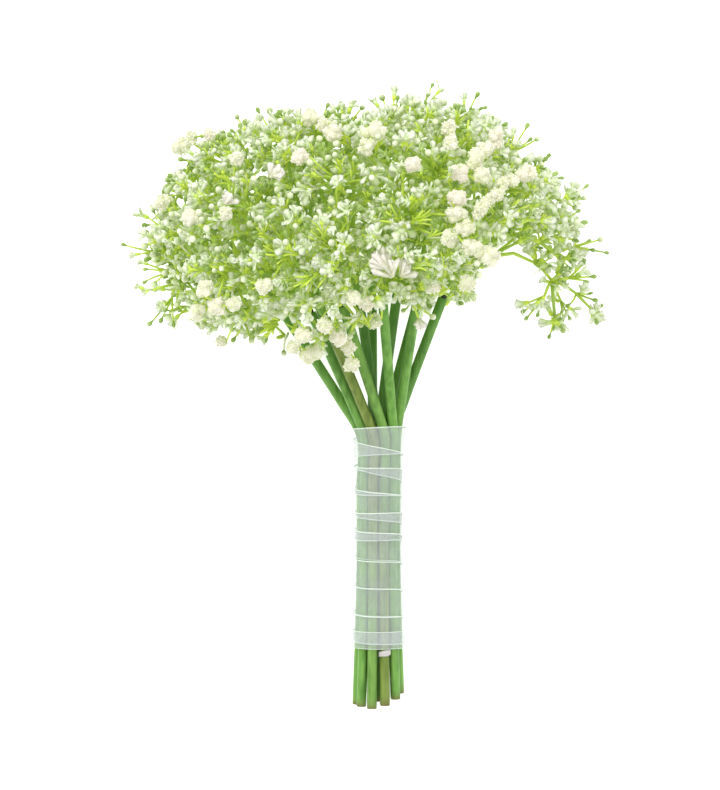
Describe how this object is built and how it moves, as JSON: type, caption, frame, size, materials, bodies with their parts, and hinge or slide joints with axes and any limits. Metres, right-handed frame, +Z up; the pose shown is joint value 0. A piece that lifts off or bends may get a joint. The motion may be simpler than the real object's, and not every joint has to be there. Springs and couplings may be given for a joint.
{
  "type": "gypsophila bunch",
  "caption": "Bunch of artificial gypsophila: branching flower sprays plugged into green stems, held by a wound organza ribbon and lying on its side.",
  "frame": {"origin": "middle of the base of the bounding box, on the surface that the bunch lies on", "axes": "+Y along the bunch from the cut stem ends to the flower heads, +Z up from the surface, +X to the right when the heads point away"},
  "size_m": [0.2478, 0.3121, 0.1366],
  "materials": {
    "stem_green": "satin, fresh green",
    "stem_olive": "satin, olive brown",
    "spray": "soft lime green with white buds and flowers",
    "ribbon_organza": "sheer white organza with bright woven edges",
    "band_tape": "white tape"
  },
  "bodies": {
    "root": {"stem_01": "stem_olive", "stem_02": "stem_green", "stem_03": "stem_green", "stem_04": "stem_green", "stem_05": "stem_green", "stem_06": "stem_green", "stem_07": "stem_green", "stem_08": "stem_green", "stem_09": "stem_green", "stem_10": "stem_green", "stem_11": "stem_green", "stem_12": "stem_green", "spray_01": "spray", "spray_02": "spray", "spray_03": "spray", "spray_04": "spray", "spray_05": "spray", "spray_06": "spray", "spray_07": "spray", "spray_08": "spray", "spray_09": "spray", "spray_10": "spray", "spray_11": "spray", "spray_12": "spray", "ribbon": "ribbon_organza", "stem_band": "band_tape"}
  },
  "joints": []
}
